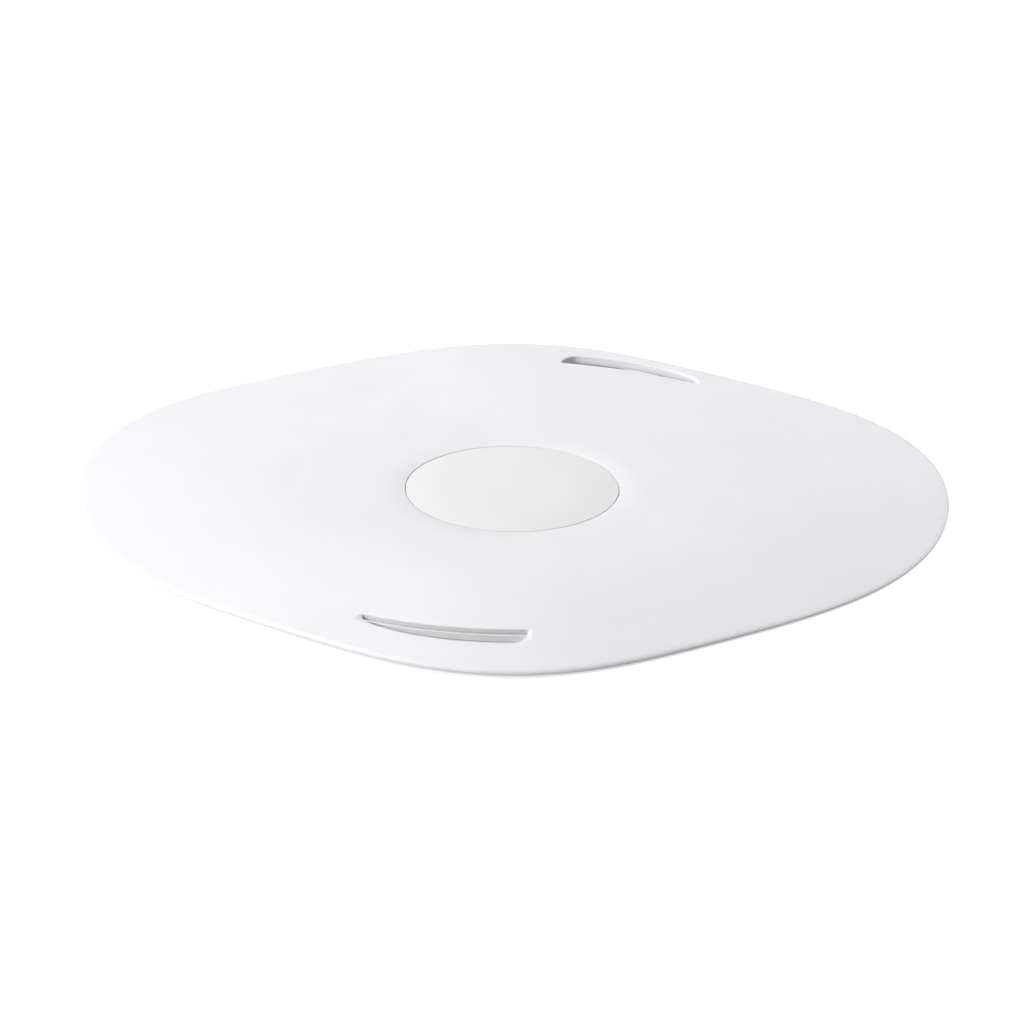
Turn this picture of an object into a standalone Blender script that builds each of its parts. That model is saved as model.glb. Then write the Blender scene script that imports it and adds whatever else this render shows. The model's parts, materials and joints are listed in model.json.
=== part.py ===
"""Ceiling access point: a thin, soft rhombic housing on a twist-lock ceiling bracket.

Frame: +Z points from the ceiling into the room, +X runs along the long diagonal of the face, and
-Y is the front corner. The origin is the centre of the bracket's ceiling face. All sizes are in
metres, written as millimetres times MM.
"""
import math

import bmesh
import bpy

MM = 0.001
GAP = 0.3 * MM                      # clearance between pieces that touch or nest

# Outline of the housing, seen from the face
LONG_RADIUS = 122.0 * MM            # centre to the left and right corners
SHORT_RADIUS = 115.3 * MM           # centre to the front and rear corners
CORNER_REACH = 3.6 * MM             # how far the four corners stand out past the sides
FLANK_FULLNESS = 1.5 * MM           # how far the flanks beside the long corners swell
OUTLINE_STEPS = 72

# Height of the face and the shape of its shoulder
FACE_Z = 36.0 * MM
SHOULDER_WIDTH = 62.0 * MM          # the flat middle ends this far inside the outline
SHOULDER_WIDTH_SWING = 5.0 * MM     # wider at the front and rear corners
SHOULDER_BEND = 0.38                # part of the width in which the flat bends into the flank
FLANK_DROP = 3.3 * MM               # how far the flank falls before the edge
FLANK_DROP_SWING = 1.2 * MM         # deeper at the front and rear corners
EDGE_WIDTH = 2.5 * MM               # the small round between the flank and the widest line
EDGE_DROP = 0.5 * MM
EDGE_DROP_SWING = 0.3 * MM
FLANK_RINGS = (0.0, 0.2, 0.4, 0.6, 0.8, 0.96)
EDGE_RINGS = (1.2 * MM, 0.3 * MM, 0.0)
COVER_WALL = 2.2 * MM
NOSE = ((1.2 * MM, 1.3 * MM), (4.0 * MM, 1.8 * MM))     # insets and depths below the widest line
INNER_RIM_INSET = 6.5 * MM
INNER_RINGS = (0.7, 0.4, 0.2, 0.0)

# Centre disc
DISC_RADIUS = 29.8 * MM
DISC_THICKNESS = 1.3 * MM
RECESS_RADIUS = DISC_RADIUS + GAP
RECESS_DEPTH = DISC_THICKNESS + GAP
RECESS_FLOOR = 1.8 * MM
LIGHT_HOLE_RADIUS = 4.0 * MM

# Crescent slots: angle of the blunt end, sweep to the pointed end, radius of the inner edge
SLOT_WIDTH = 6.3 * MM
SLOTS = {
    "front_slot": (-85.8, -29.3, 91.4 * MM),
    "rear_slot": (83.2, -24.0, 98.4 * MM),
}
SLOT_STEPS = 22
LINER_WALL = 1.0 * MM
LINER_WIDTH = 3.6 * MM
LINER_TOP = 1.0 * MM                # depths below the face beside the slot
LINER_BOTTOM = 3.7 * MM
LINER_SPAN = (0.02, 0.88)           # part of the sweep where the liner starts, and its length

# Base housing
BASE_Z = 5.3 * MM
BASE_WALL = 2.4 * MM
FOOT_RADIUS = 57.0 * MM
FOOT_CHAMFER = 1.2 * MM
FOOT_MIDDLE = 12.0 * MM             # radius of the innermost ring of the base's mesh
BASE_SLOPE_TOP = (12.0 * MM, 5.1 * MM)      # inset from the outline, depth below the widest line
BASE_SLOPE_RINGS = (1.0, 0.66, 0.33)
BASE_TONGUE = (                     # the same two numbers, round the edge under the cover's lip
    (9.6 * MM, 2.3 * MM), (7.3 * MM, 2.2 * MM), (4.8 * MM, 2.3 * MM), (8.6 * MM, 3.9 * MM),
)
NUB_GROOVE = (40.5 * MM, 44.5 * MM, 1.3 * MM)       # radii and depth
NUB_GROOVE_SPARE = 4.0              # degrees past each end of the twist

# Port bay in the base, open towards the ceiling
BAY_HALF_WIDTH = 27.0 * MM
BAY_FRONT = -30.0 * MM
BAY_BACK = 10.0 * MM
BAY_ROOF_Z = 21.0 * MM
BAY_WALL = 1.8 * MM

# Main board and what stands on it
BOARD_Z = 23.4 * MM
BOARD_THICKNESS = 1.6 * MM
BOARD_HALF_X = 65.0 * MM
BOARD_HALF_Y = 52.0 * MM
BOARD_CORNER = 12.0 * MM
UNDER_BOARD = BOARD_Z - GAP
OVER_BOARD = BOARD_Z + BOARD_THICKNESS + GAP

# Connectors in the bay's rear wall
JACK_SIZE = (16.0 * MM, 21.3 * MM, 13.4 * MM)
JACK_FRONT = 9.0 * MM
JACK_X = {"uplink_jack": -17.5 * MM, "second_jack": 0.5 * MM}
PLUG_WIDTH = 11.8 * MM
PLUG_HEIGHT = 8.4 * MM
PLUG_DEPTH = 14.0 * MM
CLIP_WIDTH = 6.2 * MM
CLIP_HEIGHT = 1.7 * MM
PLUG_LOW = 3.2 * MM                 # the plug's underside above the jack's
INLET_X = 16.4 * MM
INLET_SIZE = (9.0 * MM, 14.0 * MM, 11.0 * MM)
INLET_BORE = 3.1 * MM
INLET_PIN = 1.0 * MM
INLET_DEPTH = 10.0 * MM
BUTTON_X = 24.2 * MM
BUTTON_Z = 17.0 * MM
BUTTON_RADIUS = 1.3 * MM
BUTTON_TRAVEL = 0.5 * MM
BUTTON_SUNK = 0.2 * MM              # the button's end lies this far inside the bay wall
SWITCH_LOW_Z = 14.0 * MM
SWITCH_HALF_WIDTH = 2.6 * MM
SWITCH_LENGTH = 4.5 * MM
SWITCH_WELL = 2.5 * MM

# Parts on the board
SPREADER_HALF = (28.0 * MM, 9.0 * MM)
SPREADER_AT = (0.0, -44.0 * MM, 14.5 * MM)
SPREADER_PLATE = 3.0 * MM
PEDESTAL_HALF = (9.0 * MM, 8.0 * MM)
PEDESTAL_TOP = 5.8 * MM
FIN_COUNT = 7
FIN_SPACING = 7.0 * MM
FIN_HALF = 0.8 * MM
FIN_DEPTH = 5.0 * MM
SHIELD_HALF = (17.0 * MM, 13.0 * MM)
SHIELD_HEIGHT = 3.2 * MM
SHIELD_SHEET = 0.5 * MM
SHIELD_X = {"radio_shield_2g": -27.0 * MM, "radio_shield_5g": 27.0 * MM}
VENT_COUNT = 5
VENT_SPACING = 6.0 * MM
VENT_RADIUS = 0.9 * MM
ANTENNA_AT = (49.5 * MM, 43.5 * MM)
ANTENNA_HALF = (14.0 * MM, 4.0 * MM)
ANTENNA_Z = (6.1 * MM, 6.9 * MM)
ANTENNA_LEGS = (-14.0 * MM, -9.0 * MM)
ANTENNA_LEG = (0.8 * MM, 2.5 * MM)  # thickness and half width of a leg
STATUS_LIGHT = (3.2 * MM, 2.8 * MM, 1.2 * MM)

# Fasteners
COVER_SCREW_AT = 35.4 * MM          # x and y of the four cover screws
BOARD_SCREW_AT = (50.0 * MM, 14.0 * MM)
POST_RADIUS = 3.5 * MM
POST_BOTTOM = 17.0 * MM
POST_HOLE = (1.75 * MM, 28.0 * MM)  # radius and top
BOSS_RADIUS = 4.7 * MM
BOSS_WELL = (3.2 * MM, 8.4 * MM)    # the well for the screw's head: radius and top
BOSS_HOLE = 1.8 * MM
PILLAR_RADIUS = 3.2 * MM
PILLAR_HOLE = (1.5 * MM, 15.0 * MM)
COVER_SCREW_HEAD = (2.8 * MM, BASE_Z + 0.5 * MM, 8.1 * MM)      # radius, low z and high z
COVER_SCREW_SHANK = (1.4 * MM, 8.1 * MM, 26.0 * MM)
BOARD_SCREW_HEAD = (2.5 * MM, OVER_BOARD, OVER_BOARD + 1.7 * MM)
BOARD_SCREW_SHANK = (1.2 * MM, 17.0 * MM, OVER_BOARD)
CROSS_HALF = 0.35 * MM
CROSS_DEPTH = 0.9 * MM

# Ceiling bracket
PLATE_RADIUS = 48.5 * MM
PLATE_HOLE = 26.0 * MM
PLATE_THICKNESS = 1.2 * MM
BRIDGE_TOP = 5.0 * MM
BRIDGE_HALF = 6.4 * MM
BRIDGE_START = -9.0                 # degrees before its stud
BRIDGE_SWEEP = 31.0
STUD_CIRCLE = 38.0 * MM
STUD_NECK = 2.0 * MM
STUD_HEAD = 4.0 * MM
STUD_Z = 1.6 * MM
STUD_HEAD_HEIGHT = 1.9 * MM
STUD_HEIGHT = 3.4 * MM
TWIST = 15.0                        # degrees from locked to free
KEYHOLE_START = -3.8                # degrees before its stud
SCREW_SLOT = (10.4 * MM, 5.8 * MM)
SCREW_SLOT_AT = 28.3 * MM
LATCH_ANGLE = -22.5
LATCH_PIVOT = 29.0 * MM
LATCH_WIDTH = 8.8 * MM
LATCH_TIP = 55.0 * MM
LATCH_HEEL = 1.8 * MM               # how far it reaches inside its pivot
NUB_RADIUS = 42.5 * MM
NUB_HALF = (1.2 * MM, 1.6 * MM)
NUB_TOP = 1.8 * MM
TAB = (1.2 * MM, 0.1 * MM, 1.6 * MM)        # from the tip back, from the tip, and down
REST_REACH = (2.0 * MM, 1.6 * MM)   # the latch's rest, inside and outside the pivot


def clear_scene():
    for obj in list(bpy.data.objects):
        bpy.data.objects.remove(obj, do_unlink=True)


def material(name, colour, roughness, metallic=0.0):
    mat = bpy.data.materials.new(name)
    mat.use_nodes = True
    shader = mat.node_tree.nodes["Principled BSDF"]
    shader.inputs["Base Color"].default_value = (*colour, 1.0)
    shader.inputs["Roughness"].default_value = roughness
    shader.inputs["Metallic"].default_value = metallic
    return mat


def empty(name, location=(0.0, 0.0, 0.0), parent=None):
    obj = bpy.data.objects.new(name, None)
    bpy.context.scene.collection.objects.link(obj)
    obj.parent = parent
    obj.location = location
    return obj


def add_object(name, bm, mat=None, parent=None, location=(0.0, 0.0, 0.0), smooth=True):
    """Turns a closed bmesh into an object with its faces pointing out."""
    bmesh.ops.recalc_face_normals(bm, faces=bm.faces)
    mesh = bpy.data.meshes.new(name)
    bm.to_mesh(mesh)
    bm.free()
    if smooth:
        mesh.shade_smooth()
        mesh.set_sharp_from_angle(angle=math.radians(35.0))
    obj = bpy.data.objects.new(name, mesh)
    bpy.context.scene.collection.objects.link(obj)
    if mat:
        mesh.materials.append(mat)
    obj.parent = parent
    obj.location = location
    return obj


def rings_mesh(rings, closed=False, bm=None):
    """Bridges rings of equal length. Open ends are capped, or the last ring joins the first."""
    bm = bm or bmesh.new()
    loops = [[bm.verts.new(point) for point in ring] for ring in rings]
    pairs = list(zip(loops, loops[1:]))
    if closed:
        pairs.append((loops[-1], loops[0]))
    for lower, upper in pairs:
        count = len(lower)
        for i in range(count):
            j = (i + 1) % count
            bm.faces.new((lower[i], lower[j], upper[j], upper[i]))
    if not closed:
        bm.faces.new(loops[0][::-1])
        bm.faces.new(loops[-1])
    return bm


def circle(radius, z, steps=24, x=0.0, y=0.0):
    turns = [2.0 * math.pi * i / steps for i in range(steps)]
    return [(x + radius * math.cos(a), y + radius * math.sin(a), z) for a in turns]


def turned_mesh(profile, steps=24, x=0.0, y=0.0, bm=None):
    """A solid turned about a vertical axis, from (radius, z) pairs."""
    return rings_mesh([circle(r, z, steps, x, y) for r, z in profile], bm=bm)


def prism_mesh(outline, low, high, bm=None):
    """A vertical prism over an outline of (x, y) points."""
    return rings_mesh([[(x, y, z) for x, y in outline] for z in (low, high)], bm=bm)


def box_mesh(low, high, bm=None):
    outline = [(low[0], low[1]), (high[0], low[1]), (high[0], high[1]), (low[0], high[1])]
    return prism_mesh(outline, low[2], high[2], bm)


def block(name, size, centre_x, centre_y, low_z, mat, parent):
    """A plain block whose origin is the middle of its underside."""
    half_x, half_y = size[0] / 2.0, size[1] / 2.0
    bm = box_mesh((-half_x, -half_y, 0.0), (half_x, half_y, size[2]))
    return add_object(name, bm, mat, parent, (centre_x, centre_y, low_z), smooth=False)


def combine(target, operation, bm, name):
    """Adds an exact Boolean to target, whose tool is a hidden wire object."""
    tool = add_object(f"{target.name}.{name}", bm, parent=target, smooth=False)
    tool.hide_render = True
    tool.display_type = "WIRE"
    modifier = target.modifiers.new(name, "BOOLEAN")
    modifier.operation = operation
    modifier.solver = "EXACT"
    modifier.object = tool
    return tool


def outline_radius(angle):
    """Distance from the centre to the outline: a soft rhombus with full flanks."""
    mean = (LONG_RADIUS + SHORT_RADIUS) / 2.0 - CORNER_REACH
    stretch = (LONG_RADIUS - SHORT_RADIUS) / 2.0 + FLANK_FULLNESS
    return (
        mean
        + stretch * math.cos(2.0 * angle)
        + CORNER_REACH * math.cos(4.0 * angle)
        - FLANK_FULLNESS * math.cos(6.0 * angle)
    )


def shoulder_width(angle):
    return SHOULDER_WIDTH - SHOULDER_WIDTH_SWING * math.cos(2.0 * angle)


def flank_drop(angle):
    return FLANK_DROP - FLANK_DROP_SWING * math.cos(2.0 * angle)


def edge_drop(angle):
    return EDGE_DROP - EDGE_DROP_SWING * math.cos(2.0 * angle)


def face_z(angle, inset):
    """Height of the face at a distance inside the outline.

    The flat bends into a straight flank along a hyperbola, and an elliptic round ends it.
    """
    u = min(1.0, max(0.0, 1.0 - inset / shoulder_width(angle)))
    v = min(1.0, max(0.0, 1.0 - inset / EDGE_WIDTH))
    whole = math.hypot(1.0, 1.0 / SHOULDER_BEND) - 1.0
    flank = (math.hypot(1.0, u / SHOULDER_BEND) - 1.0) / whole
    edge = 1.0 - math.sqrt(1.0 - v * v)
    return FACE_Z - flank_drop(angle) * flank - edge_drop(angle) * edge


def rim_z(angle):
    """Height of the widest line."""
    return face_z(angle, 0.0)


def polar(radius, angle, z):
    return (radius * math.cos(angle), radius * math.sin(angle), z)


def outline_ring(section, steps=OUTLINE_STEPS):
    """A ring round the housing. section(angle) gives the radius and the height."""
    angles = [2.0 * math.pi * i / steps for i in range(steps)]
    return [polar(*section(a)[:1], a, section(a)[1]) for a in angles]


def fixed_ring(radius, z):
    return outline_ring(lambda angle: (radius, z))


def inset_ring(inset, height):
    """A ring at an inset from the outline, with its height given by height(angle)."""
    return outline_ring(lambda angle: (outline_radius(angle) - inset, height(angle)))


def below_rim(depth):
    return lambda angle: rim_z(angle) - depth


def below_face(inset, depth):
    return lambda angle: face_z(angle, inset) - depth


def shoulder_ring(u, offset=0.0):
    """A ring of the shoulder at the fraction u of its width, sunk by offset."""

    def section(angle):
        inset = shoulder_width(angle) * (1.0 - u)
        return outline_radius(angle) - inset, face_z(angle, inset) - offset

    return outline_ring(section)


def cover_mesh():
    """The shell from the light hole, over the face and round the rim, and back inside."""
    recess_z = FACE_Z - RECESS_DEPTH
    under_recess = recess_z - RECESS_FLOOR
    rings = [
        fixed_ring(LIGHT_HOLE_RADIUS, recess_z),
        fixed_ring(RECESS_RADIUS, recess_z),
        fixed_ring(RECESS_RADIUS, FACE_Z),
    ]
    rings += [shoulder_ring(u) for u in FLANK_RINGS]
    rings += [inset_ring(inset, below_face(inset, 0.0)) for inset in EDGE_RINGS]
    rings += [inset_ring(inset, below_rim(depth)) for inset, depth in NOSE]
    rings.append(inset_ring(INNER_RIM_INSET, below_face(INNER_RIM_INSET, COVER_WALL)))
    rings += [shoulder_ring(u, COVER_WALL) for u in INNER_RINGS]
    rings += [
        fixed_ring(RECESS_RADIUS + COVER_WALL, FACE_Z - COVER_WALL),
        fixed_ring(RECESS_RADIUS + 1.0 * MM, under_recess),
        fixed_ring(LIGHT_HOLE_RADIUS, under_recess),
    ]
    return rings_mesh(rings, closed=True)


def slot_outline(start, sweep, inner_radius):
    """A crescent: a blunt rounded end, a long parallel run and a pointed end."""
    inner, outer = [], []
    for i in range(SLOT_STEPS + 1):
        s = (i / SLOT_STEPS) ** 1.2
        angle = math.radians(start + sweep * s)
        blunt = 1.0 - (1.0 - min(1.0, s / 0.1)) ** 2.4
        width = SLOT_WIDTH * (0.25 + 0.75 * blunt) * max(0.0, 1.0 - s**3) ** 0.55
        inner.append((inner_radius * math.cos(angle), inner_radius * math.sin(angle)))
        reach = inner_radius + width
        outer.append((reach * math.cos(angle), reach * math.sin(angle)))
    return inner + outer[-2::-1]


def screw_places(at_x, at_y):
    return [(sx * at_x, sy * at_y) for sx in (1, -1) for sy in (1, -1)]


def make_cover(mat, parent):
    cover = add_object("top_cover", cover_mesh(), mat, parent)
    slots = bmesh.new()
    for start, sweep, radius in SLOTS.values():
        low = FACE_Z - 14.0 * MM
        prism_mesh(slot_outline(start, sweep, radius), low, FACE_Z + 2.0 * MM, slots)
    combine(cover, "DIFFERENCE", slots, "slots")
    posts = bmesh.new()
    holes = bmesh.new()
    for x, y in screw_places(COVER_SCREW_AT, COVER_SCREW_AT):
        top = FACE_Z - 1.0 * MM
        turned_mesh([(POST_RADIUS, POST_BOTTOM), (POST_RADIUS, top)], 16, x, y, posts)
        ends = (POST_BOTTOM - 1.0 * MM, POST_HOLE[1])
        turned_mesh([(POST_HOLE[0], z) for z in ends], 16, x, y, holes)
    combine(cover, "UNION", posts, "posts")
    combine(cover, "DIFFERENCE", holes, "post_holes")
    return cover


def make_disc(mat, parent):
    top = DISC_THICKNESS
    edge = 0.3 * MM
    profile = [(DISC_RADIUS, 0.0), (DISC_RADIUS, top - edge), (DISC_RADIUS - edge, top)]
    bm = turned_mesh(profile, 64)
    return add_object("centre_disc", bm, mat, parent, (0.0, 0.0, FACE_Z - DISC_THICKNESS))


def make_liner(name, start, sweep, radius, mat, parent):
    """An L-shaped channel: a wall just behind the slot's inner edge, and a floor under it."""
    inner = radius + GAP
    wall = inner + LINER_WALL
    outer = radius + LINER_WIDTH
    steps = 12
    rings = []
    for i in range(steps + 1):
        angle = math.radians(start + sweep * (LINER_SPAN[0] + LINER_SPAN[1] * i / steps))
        beside = face_z(angle, outline_radius(angle) - radius)
        top, low = beside - LINER_TOP, beside - LINER_BOTTOM
        floor = low + LINER_WALL
        section = [
            (inner, low), (outer, low), (outer, floor), (wall, floor), (wall, top), (inner, top),
        ]
        rings.append([polar(r, angle, z) for r, z in section])
    return add_object(name, rings_mesh(rings), mat, parent, smooth=False)


def base_mesh():
    """The back shell: inside floor, inside slope, rim, outside slope and foot."""
    top_inset, top_depth = BASE_SLOPE_TOP

    def slope_ring(t, lift):
        def section(angle):
            top_r = outline_radius(angle) - top_inset
            top_z = rim_z(angle) - top_depth
            foot_z = BASE_Z + FOOT_CHAMFER
            radius = FOOT_RADIUS + (top_r - FOOT_RADIUS) * t
            return radius, foot_z + (top_z - foot_z) * t + lift

        return outline_ring(section)

    floor_z = BASE_Z + BASE_WALL
    rings = [fixed_ring(FOOT_MIDDLE, floor_z), fixed_ring(FOOT_RADIUS - 3.0 * MM, floor_z)]
    rings += [slope_ring(t, BASE_WALL) for t in BASE_SLOPE_RINGS[::-1]]
    rings += [inset_ring(inset, below_rim(depth)) for inset, depth in BASE_TONGUE]
    rings += [slope_ring(t, 0.0) for t in BASE_SLOPE_RINGS]
    rings += [
        fixed_ring(FOOT_RADIUS, BASE_Z + FOOT_CHAMFER),
        fixed_ring(FOOT_RADIUS - FOOT_CHAMFER, BASE_Z),
        fixed_ring(FOOT_MIDDLE, BASE_Z),
    ]
    return rings_mesh(rings)


def arc_band(inner, outer, start, end, steps=10):
    """The plan outline of a band between two radii and two angles in degrees."""
    angles = [math.radians(start + (end - start) * i / steps) for i in range(steps + 1)]
    band = [(inner * math.cos(a), inner * math.sin(a)) for a in angles]
    return band + [(outer * math.cos(a), outer * math.sin(a)) for a in reversed(angles)]


def make_base(mat, parent):
    base = add_object("base_housing", base_mesh(), mat, parent)
    bay = box_mesh(
        (-BAY_HALF_WIDTH - BAY_WALL, BAY_FRONT - BAY_WALL, BASE_Z + 1.0 * MM),
        (BAY_HALF_WIDTH + BAY_WALL, BAY_BACK + BAY_WALL, BAY_ROOF_Z + BAY_WALL),
    )
    combine(base, "UNION", bay, "bay_walls")
    bosses = bmesh.new()
    for x, y in screw_places(COVER_SCREW_AT, COVER_SCREW_AT):
        ends = (BASE_Z + 1.0 * MM, POST_BOTTOM - GAP)
        turned_mesh([(BOSS_RADIUS, z) for z in ends], 16, x, y, bosses)
    for x, y in screw_places(*BOARD_SCREW_AT):
        ends = (BASE_Z + 1.0 * MM, UNDER_BOARD)
        turned_mesh([(PILLAR_RADIUS, z) for z in ends], 16, x, y, bosses)
    combine(base, "UNION", bosses, "bosses")
    cuts = box_mesh(
        (-BAY_HALF_WIDTH, BAY_FRONT, BASE_Z - 1.0 * MM),
        (BAY_HALF_WIDTH, BAY_BACK, BAY_ROOF_Z),
    )
    for x, y in screw_places(COVER_SCREW_AT, COVER_SCREW_AT):
        well_radius, well_top = BOSS_WELL
        profile = [
            (well_radius, BASE_Z - 1.0 * MM), (well_radius, well_top),
            (BOSS_HOLE, well_top), (BOSS_HOLE, POST_BOTTOM + 1.0 * MM),
        ]
        turned_mesh(profile, 16, x, y, cuts)
    for x, y in screw_places(*BOARD_SCREW_AT):
        ends = (PILLAR_HOLE[1], UNDER_BOARD + 1.0 * MM)
        turned_mesh([(PILLAR_HOLE[0], z) for z in ends], 16, x, y, cuts)
    groove_inner, groove_outer, groove_depth = NUB_GROOVE
    groove_start = LATCH_ANGLE + NUB_GROOVE_SPARE
    groove_end = LATCH_ANGLE - TWIST - NUB_GROOVE_SPARE
    groove = arc_band(groove_inner, groove_outer, groove_start, groove_end)
    prism_mesh(groove, BASE_Z - 1.0 * MM, BASE_Z + groove_depth, cuts)
    combine(base, "DIFFERENCE", cuts, "hollows")
    wall = (JACK_FRONT - GAP, BAY_BACK + BAY_WALL + 1.0 * MM)
    low_x = min(JACK_X.values()) - JACK_SIZE[0] / 2.0 - GAP
    high_x = INLET_X + INLET_SIZE[0] / 2.0 + GAP
    low_z = UNDER_BOARD - JACK_SIZE[2] - GAP
    windows = box_mesh((low_x, wall[0], low_z), (high_x, wall[1], BOARD_Z + GAP))
    hole = BUTTON_RADIUS + GAP
    rings = [rotated_circle(hole, y, BUTTON_X, BUTTON_Z) for y in wall]
    rings_mesh(rings, bm=windows)
    combine(base, "DIFFERENCE", windows, "windows")
    return base


def rotated_circle(radius, y, x=0.0, z=0.0, steps=16):
    """A circle about an axis along Y."""
    turns = [2.0 * math.pi * i / steps for i in range(steps)]
    return [(x + radius * math.cos(a), y, z + radius * math.sin(a)) for a in turns]


def rounded_rectangle(half_x, half_y, corner, steps=5):
    points = []
    for quarter, (sx, sy) in enumerate(((1, 1), (-1, 1), (-1, -1), (1, -1))):
        for i in range(steps + 1):
            a = math.radians(90.0 * (quarter + i / steps))
            x = sx * (half_x - corner) + corner * math.cos(a)
            y = sy * (half_y - corner) + corner * math.sin(a)
            points.append((x, y))
    return points


def make_board(mat, parent):
    outline = rounded_rectangle(BOARD_HALF_X, BOARD_HALF_Y, BOARD_CORNER)
    board = add_object(
        "main_board", prism_mesh(outline, 0.0, BOARD_THICKNESS), mat, parent,
        (0.0, 0.0, BOARD_Z), smooth=False,
    )
    holes = bmesh.new()
    ends = (-1.0 * MM, BOARD_THICKNESS + 1.0 * MM)
    for x, y in screw_places(COVER_SCREW_AT, COVER_SCREW_AT):
        turned_mesh([(POST_RADIUS + 0.5 * MM, z) for z in ends], 16, x, y, holes)
    for x, y in screw_places(*BOARD_SCREW_AT):
        turned_mesh([(PILLAR_HOLE[0], z) for z in ends], 12, x, y, holes)
    combine(board, "DIFFERENCE", holes, "holes")
    return board


def make_heat_spreader(mat, parent):
    """A finned plate under the processor, with a pedestal up to the thermal pad."""
    half_x, half_y = SPREADER_HALF
    plate = box_mesh((-half_x, -half_y, 0.0), (half_x, half_y, SPREADER_PLATE))
    spreader = add_object("heat_spreader", plate, mat, parent, SPREADER_AT, smooth=False)
    half_x, half_y = PEDESTAL_HALF
    low_z = SPREADER_PLATE - 1.0 * MM
    extras = box_mesh((-half_x, -half_y, low_z), (half_x, half_y, PEDESTAL_TOP))
    for i in range(FIN_COUNT):
        x = (i - (FIN_COUNT - 1) / 2.0) * FIN_SPACING
        low = (x - FIN_HALF, -half_y + 1.0 * MM, -FIN_DEPTH)
        box_mesh(low, (x + FIN_HALF, half_y, 1.0 * MM), extras)
    combine(spreader, "UNION", extras, "pedestal_and_fins")
    return spreader


def make_shield(name, x, mat, parent):
    """A folded sheet-metal lid, open underneath, with a row of vent holes in its top."""
    half_x, half_y = SHIELD_HALF
    height, sheet = SHIELD_HEIGHT, SHIELD_SHEET
    can = box_mesh((-half_x, -half_y, 0.0), (half_x, half_y, height))
    shield = add_object(name, can, mat, parent, (x, 0.0, OVER_BOARD), smooth=False)
    inside = box_mesh(
        (-half_x + sheet, -half_y + sheet, -1.0 * MM),
        (half_x - sheet, half_y - sheet, height - sheet),
    )
    combine(shield, "DIFFERENCE", inside, "inside")
    vents = bmesh.new()
    for i in range(VENT_COUNT):
        at = (i - (VENT_COUNT - 1) / 2.0) * VENT_SPACING
        ends = (height - 3.0 * sheet, height + 1.0 * MM)
        turned_mesh([(VENT_RADIUS, z) for z in ends], 8, at, 0.0, vents)
    combine(shield, "DIFFERENCE", vents, "vents")
    return shield


def make_antenna(name, x, y, mat, parent):
    """A stamped inverted-F antenna: a raised strip with a ground leg and a feed leg."""
    half_x, half_y = ANTENNA_HALF
    low_z, high_z = ANTENNA_Z
    strip = box_mesh((-half_x, -half_y, low_z), (half_x, half_y, high_z))
    antenna = add_object(name, strip, mat, parent, (x, y, OVER_BOARD), smooth=False)
    legs = bmesh.new()
    thickness, half_leg = ANTENNA_LEG
    for low_x in ANTENNA_LEGS:
        high = (low_x + thickness, half_leg, (low_z + high_z) / 2.0)
        box_mesh((low_x, -half_leg, 0.0), high, legs)
    combine(antenna, "UNION", legs, "legs")
    return antenna


def make_jack(name, x, mat, parent):
    """A shielded network jack whose mouth faces -Y, with the plug's clip on the ceiling side."""
    half_x, depth, height = JACK_SIZE[0] / 2.0, JACK_SIZE[1], JACK_SIZE[2]
    body = box_mesh((-half_x, 0.0, 0.0), (half_x, depth, height))
    jack = add_object(
        name, body, mat, parent, (x, JACK_FRONT, UNDER_BOARD - height), smooth=False
    )
    half_plug, half_clip = PLUG_WIDTH / 2.0, CLIP_WIDTH / 2.0
    clip_low, plug_high = PLUG_LOW - CLIP_HEIGHT, PLUG_LOW + PLUG_HEIGHT
    mouth = [
        (-half_plug, PLUG_LOW), (-half_clip, PLUG_LOW), (-half_clip, clip_low),
        (half_clip, clip_low), (half_clip, PLUG_LOW), (half_plug, PLUG_LOW),
        (half_plug, plug_high), (-half_plug, plug_high),
    ]
    rings = [[(px, y, pz) for px, pz in mouth] for y in (-1.0 * MM, PLUG_DEPTH)]
    combine(jack, "DIFFERENCE", rings_mesh(rings), "mouth")
    return jack


def make_inlet(mat, parent):
    """A barrel power socket with its centre pin, facing -Y."""
    half_x, depth, height = INLET_SIZE[0] / 2.0, INLET_SIZE[1], INLET_SIZE[2]
    body = box_mesh((-half_x, 0.0, 0.0), (half_x, depth, height))
    inlet = add_object(
        "power_inlet", body, mat, parent, (INLET_X, JACK_FRONT, UNDER_BOARD - height), smooth=False
    )
    middle = height / 2.0
    bore = [rotated_circle(INLET_BORE, y, 0.0, middle, 20) for y in (-1.0 * MM, INLET_DEPTH)]
    combine(inlet, "DIFFERENCE", rings_mesh(bore), "bore")
    pin_ends = (1.0 * MM, INLET_DEPTH + 1.0 * MM)
    pin = [rotated_circle(INLET_PIN, y, 0.0, middle, 12) for y in pin_ends]
    combine(inlet, "UNION", rings_mesh(pin), "pin")
    return inlet


def make_reset(black, cream, parent):
    """The switch body hangs from the board; its plunger slides along +Y through the bay wall."""
    switch_front = BAY_BACK + BAY_WALL + GAP
    half_x = SWITCH_HALF_WIDTH
    body = box_mesh((-half_x, 0.0, 0.0), (half_x, SWITCH_LENGTH, UNDER_BOARD - SWITCH_LOW_Z))
    switch = add_object(
        "reset_switch", body, black, parent, (BUTTON_X, switch_front, SWITCH_LOW_Z), smooth=False
    )
    well, height = BUTTON_RADIUS + GAP, BUTTON_Z - SWITCH_LOW_Z
    bore = [rotated_circle(well, y, 0.0, height) for y in (-1.0 * MM, SWITCH_WELL)]
    combine(switch, "DIFFERENCE", rings_mesh(bore), "well")
    front = BAY_BACK + BUTTON_SUNK
    rear = switch_front + SWITCH_WELL - BUTTON_TRAVEL - GAP
    rings = [rotated_circle(BUTTON_RADIUS, y - front) for y in (front, rear)]
    add_object("reset_button", rings_mesh(rings), cream, parent, (BUTTON_X, front, BUTTON_Z))


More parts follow.
